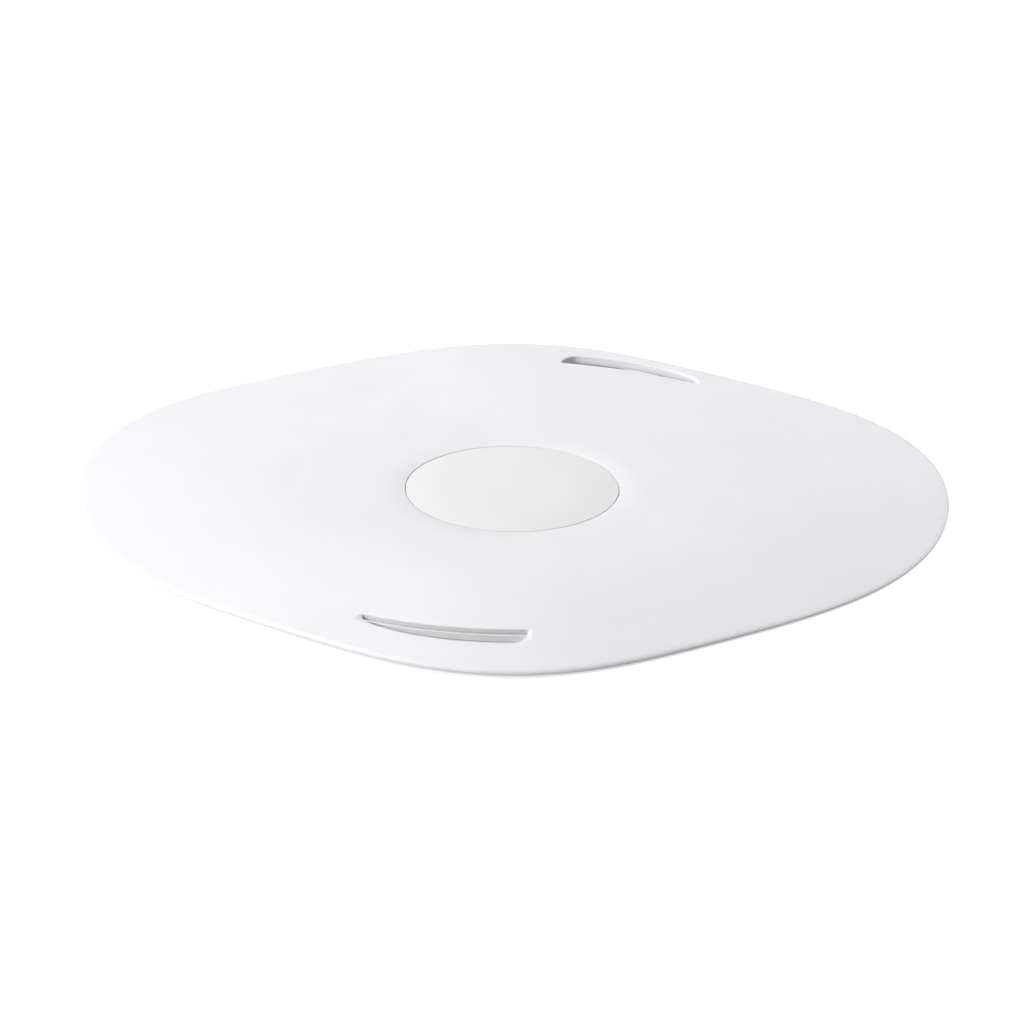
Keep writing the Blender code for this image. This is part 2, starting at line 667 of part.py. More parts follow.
def make_screw(name, x, y, head, shank, mat, parent):
    """A screw with a cross recess. head and shank are (radius, low z, high z)."""
    head_radius, head_low, head_high = head
    shank_radius, shank_low, shank_high = shank
    upwards = shank_high > head_high
    profile = [(head_radius, head_low), (head_radius, head_high)]
    if upwards:
        profile += [(shank_radius, head_high), (shank_radius, shank_high)]
    else:
        profile = [(shank_radius, shank_low), (shank_radius, head_low)] + profile
    origin_z = head_low if upwards else head_high
    profile = [(r, z - origin_z) for r, z in profile]
    screw = add_object(name, turned_mesh(profile, 14), mat, parent, (x, y, origin_z))
    cross = bmesh.new()
    arm, half = head_radius * 0.6, CROSS_HALF
    low_z, high_z = (-1.0 * MM, CROSS_DEPTH) if upwards else (-CROSS_DEPTH, 1.0 * MM)
    plus = [
        (arm, -half), (arm, half), (half, half), (half, arm), (-half, arm), (-half, half),
        (-arm, half), (-arm, -half), (-half, -half), (-half, -arm), (half, -arm), (half, -half),
    ]
    prism_mesh(plus, low_z, high_z, cross)
    combine(screw, "DIFFERENCE", cross, "cross")
    return screw


def make_bracket(mat):
    """A round plate with four raised bridges for the studs and a wide cable hole."""
    rings = [
        circle(PLATE_HOLE, 0.0, 64), circle(PLATE_RADIUS, 0.0, 64),
        circle(PLATE_RADIUS, PLATE_THICKNESS, 64), circle(PLATE_HOLE, PLATE_THICKNESS, 64),
    ]
    bracket = add_object("ceiling_bracket", rings_mesh(rings, closed=True), mat)
    low, under, top = PLATE_THICKNESS / 2.0, BRIDGE_TOP - PLATE_THICKNESS, BRIDGE_TOP
    inner, outer = STUD_CIRCLE - BRIDGE_HALF, STUD_CIRCLE + BRIDGE_HALF
    section = [
        (inner, low), (inner, top), (outer, top), (outer, low),
        (outer - PLATE_THICKNESS, low), (outer - PLATE_THICKNESS, under),
        (inner + PLATE_THICKNESS, under), (inner + PLATE_THICKNESS, low),
    ]
    bridges = bmesh.new()
    keyholes = bmesh.new()
    entries = bmesh.new()
    slot_half = STUD_NECK + 0.4 * MM
    for quarter in range(4):
        turn = 90.0 * quarter
        start = turn + BRIDGE_START
        angles = [math.radians(start + BRIDGE_SWEEP * i / 8) for i in range(9)]
        rings_mesh([[polar(r, a, z) for r, z in section] for a in angles], bm=bridges)
        start, end = turn + KEYHOLE_START, turn + TWIST
        band = arc_band(STUD_CIRCLE - slot_half, STUD_CIRCLE + slot_half, start, end)
        prism_mesh(band, under - 1.0 * MM, top + 1.0 * MM, keyholes)
        x, y, _ = polar(STUD_CIRCLE, math.radians(turn + TWIST), 0.0)
        ends = (under - 0.8 * MM, top + 0.8 * MM)
        turned_mesh([(STUD_HEAD + 0.5 * MM, z) for z in ends], 20, x, y, entries)
    combine(bracket, "UNION", bridges, "bridges")
    combine(bracket, "DIFFERENCE", keyholes, "keyholes")
    combine(bracket, "DIFFERENCE", entries, "entries")
    slots = bmesh.new()
    half_x, half_y = SCREW_SLOT[0] / 2.0, SCREW_SLOT[1] / 2.0
    for cx, cy in screw_places(SCREW_SLOT_AT, SCREW_SLOT_AT):
        outline = [(cx + x, cy + y) for x, y in rounded_rectangle(half_x, half_y, half_y * 0.98)]
        prism_mesh(outline, -1.0 * MM, PLATE_THICKNESS + 1.0 * MM, slots)
    combine(bracket, "DIFFERENCE", slots, "screw_slots")
    rest = box_mesh(
        (LATCH_PIVOT - REST_REACH[0], -LATCH_WIDTH / 2.0, low),
        (LATCH_PIVOT + REST_REACH[1], LATCH_WIDTH / 2.0, under - GAP),
    )
    tool = combine(bracket, "UNION", rest, "latch_rest")
    tool.rotation_euler[2] = math.radians(LATCH_ANGLE)
    return bracket


def make_latch(mat):
    """A sprung tongue over the plate, with a nub for the base and a thumb tab at its tip."""
    angle = math.radians(LATCH_ANGLE)
    middle_z = BRIDGE_TOP - PLATE_THICKNESS / 2.0
    pivot = empty("latch_pivot", polar(LATCH_PIVOT, angle, middle_z))
    pivot.rotation_euler[2] = angle
    half_width, half_sheet = LATCH_WIDTH / 2.0, PLATE_THICKNESS / 2.0
    tip, nub_x = LATCH_TIP - LATCH_PIVOT, NUB_RADIUS - LATCH_PIVOT
    tongue = box_mesh((-LATCH_HEEL, -half_width, -half_sheet), (tip, half_width, half_sheet))
    latch = add_object("latch_tongue", tongue, mat, pivot, smooth=False)
    half_x, half_y = NUB_HALF
    extras = box_mesh((nub_x - half_x, -half_y, 0.0), (nub_x + half_x, half_y, NUB_TOP))
    back, front, drop = TAB
    half_tab = half_width - 0.4 * MM
    box_mesh((tip - back, -half_tab, -drop), (tip - front, half_tab, 0.2 * MM), extras)
    combine(latch, "UNION", extras, "nub_and_tab")
    return latch


def build():
    clear_scene()
    white = material("white_plastic", (0.86, 0.86, 0.88), 0.42)
    disc_grey = material("disc_plastic", (0.78, 0.78, 0.78), 0.35)
    liner_grey = material("liner_plastic", (0.74, 0.74, 0.75), 0.5)
    base_white = material("base_plastic", (0.72, 0.72, 0.74), 0.55)
    zinc = material("zinc_steel", (0.66, 0.67, 0.68), 0.38, 1.0)
    spring = material("spring_steel", (0.55, 0.56, 0.58), 0.3, 1.0)
    aluminium = material("cast_aluminium", (0.7, 0.71, 0.72), 0.45, 1.0)
    pad_grey = material("pad_silicone", (0.42, 0.5, 0.6), 0.8)
    green = material("board_green", (0.03, 0.2, 0.09), 0.45)
    black = material("black_resin", (0.025, 0.025, 0.028), 0.5)
    tin = material("tinned_steel", (0.72, 0.72, 0.7), 0.32, 1.0)
    cream = material("cream_plastic", (0.8, 0.77, 0.68), 0.45)
    clear = material("clear_acrylic", (0.88, 0.92, 0.94), 0.1)

    body = empty("access_point")
    make_cover(white, body)
    make_disc(disc_grey, body)
    for name, (start, sweep, radius) in SLOTS.items():
        make_liner(f"{name}_liner", start, sweep, radius, liner_grey, body)
    make_base(base_white, body)
    make_board(green, body)
    make_heat_spreader(aluminium, body)
    block("thermal_pad", (15.0 * MM, 15.0 * MM, 1.0 * MM), 0.0, -43.0 * MM, 20.6 * MM,
          pad_grey, body)
    block("processor", (17.0 * MM, 17.0 * MM, 1.2 * MM), 0.0, -43.0 * MM, 21.9 * MM, black, body)
    block("memory_chip", (11.0 * MM, 9.0 * MM, 1.0 * MM), 21.0 * MM, -43.0 * MM, 22.1 * MM,
          black, body)
    for name, x in SHIELD_X.items():
        make_shield(name, x, tin, body)
    for number, (x, y) in enumerate(screw_places(*ANTENNA_AT), 1):
        make_antenna(f"antenna_{number}", x, y, tin, body)
    for name, x in JACK_X.items():
        make_jack(name, x, tin, body)
    block("lan_magnetics", (28.0 * MM, 12.0 * MM, 5.8 * MM), -8.5 * MM, 39.0 * MM, 17.3 * MM,
          black, body)
    block("power_transformer", (13.0 * MM, 13.0 * MM, 11.0 * MM), 36.5 * MM, -6.0 * MM,
          UNDER_BOARD - 11.0 * MM, black, body)
    add_object("bulk_capacitor", turned_mesh([(4.0 * MM, 0.0), (4.0 * MM, 12.0 * MM)], 20),
               black, body, (-37.0 * MM, -6.0 * MM, UNDER_BOARD - 12.0 * MM))
    make_inlet(black, body)
    make_reset(black, cream, body)
    block("status_light", STATUS_LIGHT, 0.0, 0.0, OVER_BOARD, cream, body)
    pipe_low = OVER_BOARD + STATUS_LIGHT[2] + GAP
    pipe_high = FACE_Z - DISC_THICKNESS - GAP
    pipe = turned_mesh([(2.6 * MM, 0.0), (3.4 * MM, pipe_high - pipe_low)], 20)
    add_object("light_pipe", pipe, clear, body, (0.0, 0.0, pipe_low))
    for number, (x, y) in enumerate(screw_places(COVER_SCREW_AT, COVER_SCREW_AT), 1):
        name = f"cover_screw_{number}"
        make_screw(name, x, y, COVER_SCREW_HEAD, COVER_SCREW_SHANK, zinc, body)
    for number, (x, y) in enumerate(screw_places(*BOARD_SCREW_AT), 1):
        name = f"board_screw_{number}"
        make_screw(name, x, y, BOARD_SCREW_HEAD, BOARD_SCREW_SHANK, zinc, body)
    for quarter in range(4):
        x, y, _ = polar(STUD_CIRCLE, math.radians(90.0 * quarter), 0.0)
        profile = [
            (STUD_HEAD - 0.4 * MM, 0.0), (STUD_HEAD, 0.4 * MM), (STUD_HEAD, STUD_HEAD_HEIGHT),
            (STUD_NECK, STUD_HEAD_HEIGHT), (STUD_NECK, STUD_HEIGHT),
        ]
        stud = turned_mesh(profile, 20)
        add_object(f"hook_stud_{quarter + 1}", stud, zinc, body, (x, y, STUD_Z))
    make_bracket(zinc)
    make_latch(spring)


build()
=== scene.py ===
"""Looks of the ceiling access point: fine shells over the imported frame, materials and light."""

import json
import math

import bmesh
import bpy
from mathutils import Matrix, Vector


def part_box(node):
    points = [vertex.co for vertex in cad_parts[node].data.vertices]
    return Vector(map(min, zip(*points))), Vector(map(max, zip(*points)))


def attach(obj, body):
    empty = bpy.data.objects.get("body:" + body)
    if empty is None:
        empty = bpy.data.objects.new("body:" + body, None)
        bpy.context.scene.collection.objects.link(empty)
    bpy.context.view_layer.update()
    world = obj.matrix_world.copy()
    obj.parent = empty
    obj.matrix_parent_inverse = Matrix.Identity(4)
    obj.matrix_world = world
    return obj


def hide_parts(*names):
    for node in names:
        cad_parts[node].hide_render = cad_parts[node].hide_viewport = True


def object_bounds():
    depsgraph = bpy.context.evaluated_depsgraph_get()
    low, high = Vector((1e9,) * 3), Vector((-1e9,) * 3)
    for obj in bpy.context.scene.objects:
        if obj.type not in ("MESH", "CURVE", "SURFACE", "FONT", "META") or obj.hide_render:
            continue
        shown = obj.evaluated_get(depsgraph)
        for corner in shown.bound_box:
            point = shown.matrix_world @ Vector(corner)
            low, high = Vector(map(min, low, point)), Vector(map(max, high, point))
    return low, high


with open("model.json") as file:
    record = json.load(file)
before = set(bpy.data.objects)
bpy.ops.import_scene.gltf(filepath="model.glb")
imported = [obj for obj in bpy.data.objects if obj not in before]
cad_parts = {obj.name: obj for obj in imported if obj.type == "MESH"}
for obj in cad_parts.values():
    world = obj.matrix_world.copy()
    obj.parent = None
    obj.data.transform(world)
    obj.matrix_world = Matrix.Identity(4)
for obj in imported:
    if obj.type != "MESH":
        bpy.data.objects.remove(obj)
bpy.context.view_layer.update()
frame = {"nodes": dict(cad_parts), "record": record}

MM = 0.001
CASE = "access_point"
SMOOTH_ANGLE = 32.0                  # degrees; sharper edges stay sharp
GAP = 0.3 * MM                       # between pieces that fit into each other
_, cover_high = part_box("top_cover")
disc_low, disc_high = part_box("centre_disc")
base_low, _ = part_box("base_housing")

# Outline of the housing, as the CAD draws it
LONG_RADIUS = cover_high.x
SHORT_RADIUS = cover_high.y
FACE_Z = cover_high.z
CORNER_REACH = 3.6 * MM              # how far the corners are drawn out
FLANK_FULLNESS = 1.5 * MM            # how far the flanks swell
OUTLINE_STEPS = 288

# Shoulder, rim and wall of the cover. A swing is taken off towards the long corners and added
# towards the short ones.
SHOULDER_WIDTH = 62.0 * MM
SHOULDER_WIDTH_SWING = 5.0 * MM
SHOULDER_BEND = 0.38                 # the lower, the sharper the bend at the shoulder's top
FLANK_DROP = 3.3 * MM
FLANK_DROP_SWING = 1.2 * MM
EDGE_WIDTH = 2.5 * MM
EDGE_DROP = 0.5 * MM
EDGE_DROP_SWING = 0.3 * MM
COVER_WALL = 2.2 * MM
FLAT_RADIUS = 38.0 * MM              # a ring on the flat, between the recess and the shoulder
SHOULDER_END, SHOULDER_STEPS = 0.955, 26
INNER_SHOULDER = (0.85, 0.17, 6)     # start, step and number of the rings under the shoulder
INNER_RIM_INSET = 6.5 * MM
LIP_INSET = 4.0 * MM
LIP_DEPTH = 1.8 * MM
LIP_RETURN = (0.3 * MM, 0.2 * MM)    # the lip's inner edge, inwards and upwards

# Disc and its recess
DISC_RADIUS = disc_high.x
RECESS_RADIUS = DISC_RADIUS + 0.14 * MM
RECESS_Z = disc_low.z - GAP
RECESS_FLOOR = 1.8 * MM
RECESS_WALL = 1.0 * MM
RECESS_EDGE = 0.18 * MM
DISC_EDGE = 0.2 * MM
DISC_STEPS = 128
LIGHT_HOLE_RADIUS = 4.0 * MM

# Crescent slots, the collars round them and the liners under them
SLOT_WIDTH = 6.3 * MM
SLOT_EDGE = 0.8 * MM
SLOT_CROWDING = 1.2                  # the points crowd towards the blunt end
BLUNT_RUN, BLUNT_WIDTH = 0.1, 0.25   # shares of the sweep and of the width
BLUNT_POWER = 2.4
POINT_POWERS = (3, 0.55)             # of the narrowing towards the pointed end
COLLAR_WALL = 1.3 * MM
COLLAR_TOP, COLLAR_BOTTOM = 1.0 * MM, 5.4 * MM
CUTTER_BOTTOM, CUTTER_TOP = 12.0 * MM, 4.0 * MM
CUTTER_MOUTH = 1.15                  # times the edge's round
CUTTER_LIFT = 0.15 * MM
LINER_WALL = (GAP, 1.3 * MM)         # both faces of the pale wall, outside the inner edge
LINER_WIDTH = 5.6 * MM
LINER_TOP = 1.0 * MM
LINER_BOTTOM = 3.7 * MM
LINER_FLOOR = 1.0 * MM
LINER_EDGE = 0.1 * MM
LINER_SPAN = (-0.01, 1.0)            # part of the sweep where the liner starts, and its length
LINER_STEPS = 48
# Angle of the blunt end, sweep to the pointed end, and radius of the inner edge
SLOTS = {
    "front_slot": (-85.8, -29.3, 91.4 * MM),
    "rear_slot": (83.2, -24.0, 98.4 * MM),
}

# Base housing
BASE_Z = base_low.z
BASE_WALL = 2.4 * MM
FOOT_RADIUS = 57.0 * MM
FOOT_ROUND = 1.2 * MM
FLOOR_CORNER = 3.0 * MM
CAP_RADIUS = 12.0 * MM               # innermost ring of the flat floor, which is capped
SLOPE_TOP = (12.0 * MM, 5.1 * MM)    # inset from the outline, and depth below the rim
SLOPE_STEPS = 9
# Millimetres inside the outline and below the rim, from the inside of the tongue to the outside
TONGUE = ((9.6, 2.3), (7.3, 2.2), (5.0, 2.15), (4.8, 2.3), (5.1, 2.5), (8.6, 3.9))
BAY = ((-27.0 * MM, -30.0 * MM), (27.0 * MM, 10.0 * MM), 21.0 * MM)
BAY_WALL = 1.8 * MM
OVERLAP = 1.0 * MM                   # of the bay into the floor, and of cutters past what they cut
WINDOW_DEPTH = 1.5 * MM
WELL_MOUTH, WELL_RADIUS, WELL_TOP = 3.6 * MM, 3.2 * MM, 8.35 * MM
WELL_CHAMFER = (0.4 * MM, 0.3 * MM)  # below and above the underside
SCREW_HOLE_RADIUS, SCREW_HOLE_TOP = 1.8 * MM, 12.0 * MM
NUB_GROOVE = (40.5 * MM, 44.5 * MM)
NUB_GROOVE_ARC = (-18.5, -23.0)      # start and sweep in degrees
NUB_GROOVE_DEPTH = 1.3 * MM
NUB_GROOVE_STEPS = 24

# Contacts in the jacks
JACK_ROOF = 11.6 * MM
COMB_HALF_WIDTH = 5.7 * MM
COMB_ALONG = (3.0 * MM, 13.7 * MM)   # behind the jack's mouth
COMB_DOWN = (0.75 * MM, 0.15 * MM)   # below the roof
CONTACTS = 8
CONTACT_PITCH = 1.02 * MM
CONTACT_HALF_WIDTH = 0.22 * MM
# Millimetres behind the mouth and below the roof
CONTACT_PATH = ((3.2, 1.0), (4.2, 1.25), (6.6, 3.4), (9.6, 3.9), (12.4, 3.6))

# The camera's view: azimuth, elevation and roll in degrees, the width across the frame at the
# disc, and how far the disc's centre sits above the middle of the picture
VIEW_AZIMUTH = 1.25
VIEW_ELEVATION = 23.72
VIEW_ROLL = 0.73
VIEW_WIDTH = 286.0 * MM
VIEW_DISTANCE = 4.0
DISC_ABOVE_MIDDLE = 6.52 * MM

# Studio: each light's azimuth from +X and elevation in degrees, and its power in watts
LIGHTS = {
    "rear_light": (108.0, 45.0, 20.0),
    "rear_left_light": (126.0, 45.0, 29.0),
    "low_rear_light": (75.0, 20.0, 5.0),
    "front_left_light": (218.0, 22.0, 26.0),
}
WORLD_STRENGTH = 0.04
SOFTBOX_DISTANCE = 2.2
SOFTBOX_SIZE = 0.9
FLOOR_HALF = 30.0
FLOOR_COLOUR = (0.2, 0.2, 0.2)
FLOOR_GLOW = 0.98


# ---------------------------------------------------------------- shapes


def outline_radius(angle):
    """Distance from the centre to the outline: a soft rhombus with full flanks."""
    mean = (LONG_RADIUS + SHORT_RADIUS) / 2.0 - CORNER_REACH
    stretch = (LONG_RADIUS - SHORT_RADIUS) / 2.0 + FLANK_FULLNESS
    return (
        mean
        + stretch * math.cos(2.0 * angle)
        + CORNER_REACH * math.cos(4.0 * angle)
        - FLANK_FULLNESS * math.cos(6.0 * angle)
    )


def shoulder_width(angle):
    return SHOULDER_WIDTH - SHOULDER_WIDTH_SWING * math.cos(2.0 * angle)


def face_z(angle, inset):
    """Height of the face at a distance inside the outline: a hyperbola, then a small round."""
    flank_drop = FLANK_DROP - FLANK_DROP_SWING * math.cos(2.0 * angle)
    edge_drop = EDGE_DROP - EDGE_DROP_SWING * math.cos(2.0 * angle)
    u = min(1.0, max(0.0, 1.0 - inset / shoulder_width(angle)))
    v = min(1.0, max(0.0, 1.0 - inset / EDGE_WIDTH))
    whole = math.hypot(1.0, 1.0 / SHOULDER_BEND) - 1.0
    flank = (math.hypot(1.0, u / SHOULDER_BEND) - 1.0) / whole
    return FACE_Z - flank_drop * flank - edge_drop * (1.0 - math.sqrt(1.0 - v * v))


def surface_z(x, y):
    """Height of the face over a point."""
    angle = math.atan2(y, x)
    return face_z(angle, outline_radius(angle) - math.hypot(x, y))


def polar(radius, angle, z):
    return (radius * math.cos(angle), radius * math.sin(angle), z)


def outline_ring(section):
    """A ring round the housing. section(angle) gives the radius and the height."""
    ring = []
    for i in range(OUTLINE_STEPS):
        angle = 2.0 * math.pi * i / OUTLINE_STEPS
        radius, z = section(angle)
        ring.append(polar(radius, angle, z))
    return ring


def fixed_ring(radius, z):
    return outline_ring(lambda angle: (radius, z))


def inset_ring(inset, height):
    return outline_ring(lambda angle: (outline_radius(angle) - inset, height(angle)))


def below_rim(depth):
    return lambda angle: face_z(angle, 0.0) - depth


def below_face(inset, depth):
    return lambda angle: face_z(angle, inset) - depth


def shoulder_ring(u, sink=0.0):
    def section(angle):
        inset = shoulder_width(angle) * (1.0 - u)
        return outline_radius(angle) - inset, face_z(angle, inset) - sink

    return outline_ring(section)


def skin(rings, closed=False, bm=None):
    """Bridges rings of equal length. Open ends are capped, or the last ring joins the first."""
    bm = bm or bmesh.new()
    loops = [[bm.verts.new(point) for point in ring] for ring in rings]
    pairs = list(zip(loops, loops[1:]))
    if closed:
        pairs.append((loops[-1], loops[0]))
    for lower, upper in pairs:
        count = len(lower)
        for i in range(count):
            j = (i + 1) % count
            bm.faces.new((lower[i], lower[j], upper[j], upper[i]))
    if not closed:
        bm.faces.new(loops[0][::-1])
        bm.faces.new(loops[-1])
    return bm


def circle(radius, z, steps, x=0.0, y=0.0):
    turns = [2.0 * math.pi * i / steps for i in range(steps)]
    return [(x + radius * math.cos(a), y + radius * math.sin(a), z) for a in turns]


def circle_y(radius, y, x, z, steps=32):
    """A circle round an axis along Y."""
    turns = [2.0 * math.pi * i / steps for i in range(steps)]
    return [(x + radius * math.cos(a), y, z + radius * math.sin(a)) for a in turns]


def turned(profile, steps, x, y, bm):
    """A turned solid, upright over a point, from pairs of radius and height."""
    return skin([circle(r, z, steps, x, y) for r, z in profile], bm=bm)


def prism(outline, low, high, bm=None):
    return skin([[(x, y, z) for x, y in outline] for z in (low, high)], bm=bm)


def box(low, high, bm=None):
    outline = [(low[0], low[1]), (high[0], low[1]), (high[0], high[1]), (low[0], high[1])]
    return prism(outline, low[2], high[2], bm)


def add_object(name, bm):
    bmesh.ops.recalc_face_normals(bm, faces=bm.faces)
    mesh = bpy.data.meshes.new(name)
    bm.to_mesh(mesh)
    bm.free()
    mesh.shade_smooth()
    mesh.set_sharp_from_angle(angle=math.radians(SMOOTH_ANGLE))
    obj = bpy.data.objects.new(name, mesh)
    bpy.context.scene.collection.objects.link(obj)
    return obj


def apply_modifiers(obj, smooth_angle=SMOOTH_ANGLE):
    """Bakes the modifiers into the mesh and shades it again."""
    graph = bpy.context.evaluated_depsgraph_get()
    mesh = bpy.data.meshes.new_from_object(obj.evaluated_get(graph))
    obj.modifiers.clear()
    obj.data = mesh
    mesh.shade_smooth()
    mesh.set_sharp_from_angle(angle=math.radians(smooth_angle))
    return obj


def combine(obj, operation, bm):
    """Joins or cuts with an exact Boolean, and removes the tool."""
    tool = add_object("tool", bm)
    modifier = obj.modifiers.new("combine", "BOOLEAN")
    modifier.operation = operation
    modifier.solver = "EXACT"
    modifier.object = tool
    apply_modifiers(obj)
    bpy.data.objects.remove(tool)


def soften(obj, width, segments=2, angle=35.0, smooth_angle=40.0):
    """Rounds the edges that turn by more than an angle."""
    modifier = obj.modifiers.new("edges", "BEVEL")
    modifier.width = width
    modifier.segments = segments
    modifier.limit_method = "ANGLE"
    modifier.angle_limit = math.radians(angle)
    modifier.use_clamp_overlap = True
    return apply_modifiers(obj, smooth_angle)


def place(obj, mat, slot, *nodes):
    """Gives a piece its material, hangs it under its body's empty, and hides the frame nodes it
    replaces. The slot argument is not used.
    """
    obj.data.materials.clear()
    obj.data.materials.append(mat)
    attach(obj, CASE)
    if nodes:
        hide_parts(*nodes)


# ---------------------------------------------------------------- materials


class Nodes:
    """A short way to write a node material around one Principled BSDF."""

    def __init__(self, name, colour, roughness, metallic=0.0):
        self.mat = bpy.data.materials.new(name)
        self.mat.use_nodes = True
        self.tree = self.mat.node_tree
        self.shader = self.tree.nodes["Principled BSDF"]
        self.shader.inputs["Base Color"].default_value = (*colour, 1.0)
        self.shader.inputs["Roughness"].default_value = roughness
        self.shader.inputs["Metallic"].default_value = metallic
        self.point = self.tree.nodes.new("ShaderNodeTexCoord").outputs["Object"]

    def link(self, source, target):
        self.tree.links.new(source, target)

    def node(self, kind, **values):
        node = self.tree.nodes.new(kind)
        for key, value in values.items():
            setattr(node, key, value)
        return node

    def stretched(self, scale):
        mapping = self.node("ShaderNodeMapping")
        mapping.inputs["Scale"].default_value = scale
        self.link(self.point, mapping.inputs["Vector"])
        return mapping.outputs["Vector"]

    def noise(self, scale, detail=2.0, roughness=0.5, vector=None):
        node = self.node("ShaderNodeTexNoise")
        node.inputs["Scale"].default_value = scale
        node.inputs["Detail"].default_value = detail
        node.inputs["Roughness"].default_value = roughness
        self.link(vector or self.point, node.inputs["Vector"])
        return node.outputs["Fac"]

    def cells(self, scale):
        node = self.node("ShaderNodeTexVoronoi", feature="F1")
        node.inputs["Scale"].default_value = scale
        self.link(self.point, node.inputs["Vector"])
        return node.outputs["Distance"]

    def spread(self, source, low, high, source_low=0.3, source_high=0.7):
        node = self.node("ShaderNodeMapRange")
        node.inputs["From Min"].default_value = source_low
        node.inputs["From Max"].default_value = source_high
        node.inputs["To Min"].default_value = low
        node.inputs["To Max"].default_value = high
        self.link(source, node.inputs["Value"])
        return node.outputs["Result"]

    def vary_roughness(self, source, low, high):
        self.link(self.spread(source, low, high), self.shader.inputs["Roughness"])

    def vary_colour(self, source, dark, light, low=0.35, high=0.65):
        """Runs from one colour to another as source rises."""
        node = self.node("ShaderNodeMix", data_type="RGBA")
        node.inputs["A"].default_value = (*dark, 1.0)
        node.inputs["B"].default_value = (*light, 1.0)
        self.link(self.spread(source, 0.0, 1.0, low, high), node.inputs["Factor"])
        self.link(node.outputs["Result"], self.shader.inputs["Base Color"])

    def bump(self, source, height, strength=1.0):
        node = self.node("ShaderNodeBump")
        node.inputs["Strength"].default_value = strength
        node.inputs["Distance"].default_value = height
        previous = self.shader.inputs["Normal"]
        if previous.is_linked:
            self.link(previous.links[0].from_socket, node.inputs["Normal"])
        self.link(source, node.inputs["Height"])
        self.link(node.outputs["Normal"], self.shader.inputs["Normal"])


def scaled(colour, factor):
    return tuple(min(1.0, channel * factor) for channel in colour)


def moulded_plastic(name, colour, roughness, grain=0.012 * MM, mottle=0.012, grain_scale=2600.0):
    """Moulded plastic: spark-eroded grain, a slow waviness, and cloudy gloss and colour."""
    m = Nodes(name, colour, roughness)
    cloud = m.noise(22.0, 4.0, 0.6)
    m.vary_colour(cloud, scaled(colour, 1.0 - mottle), scaled(colour, 1.0 + mottle))
    m.vary_roughness(m.noise(160.0, 3.0), roughness - 0.05, roughness + 0.05)
    m.bump(m.noise(14.0, 1.0), 0.05 * MM, 0.35)
    m.bump(m.noise(grain_scale, 2.0, 0.6), grain, 0.8)
    m.shader.inputs["Specular IOR Level"].default_value = 0.45
    return m.mat


def plated_steel(name, colour, roughness, brushed=(1.0, 1.0, 1.0), spangle=0.05):
    """Rolled and plated sheet: fine drawn lines, faint crystal spangle and handling marks."""
    m = Nodes(name, colour, roughness, 1.0)
    m.vary_colour(m.cells(420.0), scaled(colour, 1.0 - spangle), scaled(colour, 1.0 + spangle),
                  0.1, 0.8)
    lines = m.noise(900.0, 3.0, 0.6, m.stretched(brushed))
    m.vary_roughness(lines, roughness - 0.08, roughness + 0.1)
    m.bump(lines, 0.01 * MM, 0.5)
    m.bump(m.noise(60.0, 2.0), 0.03 * MM, 0.3)
    return m.mat


def cast_aluminium(name, colour):
    m = Nodes(name, colour, 0.5, 1.0)
    m.vary_colour(m.noise(120.0, 5.0, 0.65), scaled(colour, 0.9), scaled(colour, 1.06))
    m.vary_roughness(m.noise(700.0, 3.0), 0.38, 0.6)
    m.bump(m.noise(1500.0, 3.0, 0.7), 0.03 * MM, 0.7)
    return m.mat


def moulded_resin(name, colour):
    """Black chip and connector resin, with a flow-marked satin face."""
    m = Nodes(name, colour, 0.5)
    m.vary_colour(m.noise(300.0, 4.0), scaled(colour, 0.75), scaled(colour, 1.5))
    m.vary_roughness(m.noise(1800.0, 3.0), 0.38, 0.62)
    m.bump(m.noise(3200.0, 2.0, 0.7), 0.012 * MM, 0.8)
    return m.mat


def solder_mask(name, colour):
    """A board: rows of thin raised tracks under a glossy mask."""
    m = Nodes(name, colour, 0.32)
    tracks = m.node("ShaderNodeTexWave", wave_type="BANDS", bands_direction="DIAGONAL")
    tracks.inputs["Scale"].default_value = 260.0
    tracks.inputs["Distortion"].default_value = 6.0
    tracks.inputs["Detail"].default_value = 1.0
    m.link(m.point, tracks.inputs["Vector"])
    m.vary_colour(tracks.outputs["Fac"], colour, scaled(colour, 1.9), 0.72, 0.8)
    m.vary_roughness(m.noise(240.0, 3.0), 0.25, 0.42)
    m.bump(tracks.outputs["Fac"], 0.02 * MM, 0.6)
    return m.mat


def soft_pad(name, colour):
    m = Nodes(name, colour, 0.8)
    m.vary_colour(m.cells(1400.0), scaled(colour, 0.85), scaled(colour, 1.12), 0.1, 0.7)
    m.vary_roughness(m.noise(500.0, 2.0), 0.72, 0.9)
    m.bump(m.cells(1400.0), 0.03 * MM, 0.7)
    return m.mat


def clear_plastic(name, colour):
    m = Nodes(name, colour, 0.08)
    m.shader.inputs["Transmission Weight"].default_value = 1.0
    m.shader.inputs["IOR"].default_value = 1.49
    m.vary_roughness(m.noise(900.0, 2.0), 0.04, 0.14)
    m.bump(m.noise(120.0, 2.0), 0.01 * MM, 0.4)
    return m.mat


